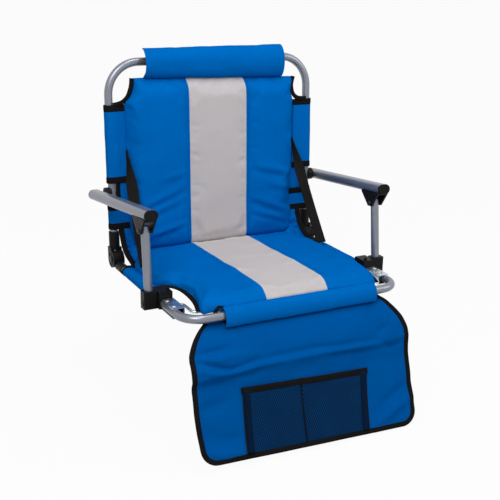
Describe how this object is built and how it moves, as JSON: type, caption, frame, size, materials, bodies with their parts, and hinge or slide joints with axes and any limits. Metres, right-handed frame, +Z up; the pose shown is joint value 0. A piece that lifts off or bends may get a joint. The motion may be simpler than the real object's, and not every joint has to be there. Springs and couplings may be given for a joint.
{
  "type": "folding stadium seat",
  "caption": "Cushioned bench seat whose back and arms fold flat on a bent tube frame, with a rod hook for the bench plank and a hanging front apron with net pockets.",
  "frame": {"origin": "on the bench plank's upper face, midway between the side tubes and straight under the fold axis", "axes": "+X to the right of a viewer in front of the seat, -Y the way the sitter faces, +Z up"},
  "size_m": [0.5972, 0.5336, 0.7645],
  "materials": {
    "frame_paint": "satin silver-grey paint",
    "black_moulding": "matte moulded",
    "rivet_black": "black",
    "zinc": "zinc plated",
    "blue_cloth": "coated woven polyester",
    "black_webbing": "woven",
    "pocket_net": "net"
  },
  "bodies": {
    "seat": {"seat_frame_tube": "frame_paint", "hinge_seat_half_left": "black_moulding", "hinge_seat_half_right": "black_moulding", "hinge_rivets": "rivet_black", "foot_clamp_left": "black_moulding", "foot_clamp_right": "black_moulding", "foot_bolts": "zinc", "hook_bracket_left": "zinc", "hook_bracket_right": "zinc", "bracket_rivets": "zinc", "seat_pad": "blue_cloth", "seat_side_sleeve_left": "blue_cloth", "seat_side_sleeve_right": "blue_cloth", "seat_front_roll": "blue_cloth"},
    "back": {"back_frame_tube": "frame_paint", "hinge_back_half_left": "black_moulding", "hinge_back_half_right": "black_moulding", "back_pad": "blue_cloth", "back_upper_sleeve_left": "blue_cloth", "back_upper_sleeve_right": "blue_cloth", "back_lower_sleeve_left": "blue_cloth", "back_lower_sleeve_right": "blue_cloth", "head_roll": "blue_cloth", "arm_pivot_boss_left": "black_moulding", "arm_pivot_boss_right": "black_moulding", "arm_pivot_bolts": "zinc", "side_strap_left": "black_webbing", "side_strap_right": "black_webbing"},
    "bench_hook": {"bench_hook": "zinc"},
    "apron": {"apron_panel": "blue_cloth", "apron_binding": "black_webbing", "pocket_net_left": "pocket_net", "pocket_net_right": "pocket_net", "pocket_trim": "black_webbing"},
    "arm_left": {"arm_rail_left": "frame_paint", "arm_front_cap_left": "black_moulding", "arm_rear_cap_left": "black_moulding", "arm_clevis_left": "black_moulding", "clevis_rivet_left": "zinc"},
    "post_left": {"post_tube_left": "frame_paint", "post_foot_left": "black_moulding"},
    "arm_right": {"arm_rail_right": "frame_paint", "arm_front_cap_right": "black_moulding", "arm_rear_cap_right": "black_moulding", "arm_clevis_right": "black_moulding", "clevis_rivet_right": "zinc"},
    "post_right": {"post_tube_right": "frame_paint", "post_foot_right": "black_moulding"}
  },
  "joints": [
    {"name": "back_fold", "type": "hinge", "parent": "seat", "child": "back", "pos_m": [0, 0, 0.022], "axis": [1, 0, 0], "range_deg": [0, 84], "deforming": ["side_strap_left", "side_strap_right"]},
    {"name": "arm_left_swing", "type": "hinge", "parent": "back", "child": "arm_left", "pos_m": [0, 0.01653, 0.17142], "axis": [1, 0, 0], "range_deg": [-84, 0]},
    {"name": "post_left_swing", "type": "hinge", "parent": "seat", "child": "post_left", "pos_m": [0, -0.269, 0.011], "axis": [1, 0, 0], "range_deg": [0, 84]},
    {"name": "arm_right_swing", "type": "hinge", "parent": "back", "child": "arm_right", "pos_m": [0, 0.01653, 0.17142], "axis": [1, 0, 0], "range_deg": [-84, 0]},
    {"name": "post_right_swing", "type": "hinge", "parent": "seat", "child": "post_right", "pos_m": [0, -0.269, 0.011], "axis": [1, 0, 0], "range_deg": [0, 84]},
    {"name": "hook_swing", "type": "hinge", "parent": "seat", "child": "bench_hook", "pos_m": [0, -0.3, 0.009], "axis": [1, 0, 0], "range_deg": [0, 115]},
    {"name": "apron_swing", "type": "hinge", "parent": "seat", "child": "apron", "pos_m": [0, -0.398, 0.011], "axis": [1, 0, 0], "range_deg": [-100, 12]}
  ],
  "couplings": [
    {"joint": "arm_left_swing", "follows": "back_fold", "ratio": -1},
    {"joint": "post_left_swing", "follows": "back_fold", "ratio": 1},
    {"joint": "arm_right_swing", "follows": "back_fold", "ratio": -1},
    {"joint": "post_right_swing", "follows": "back_fold", "ratio": 1}
  ]
}
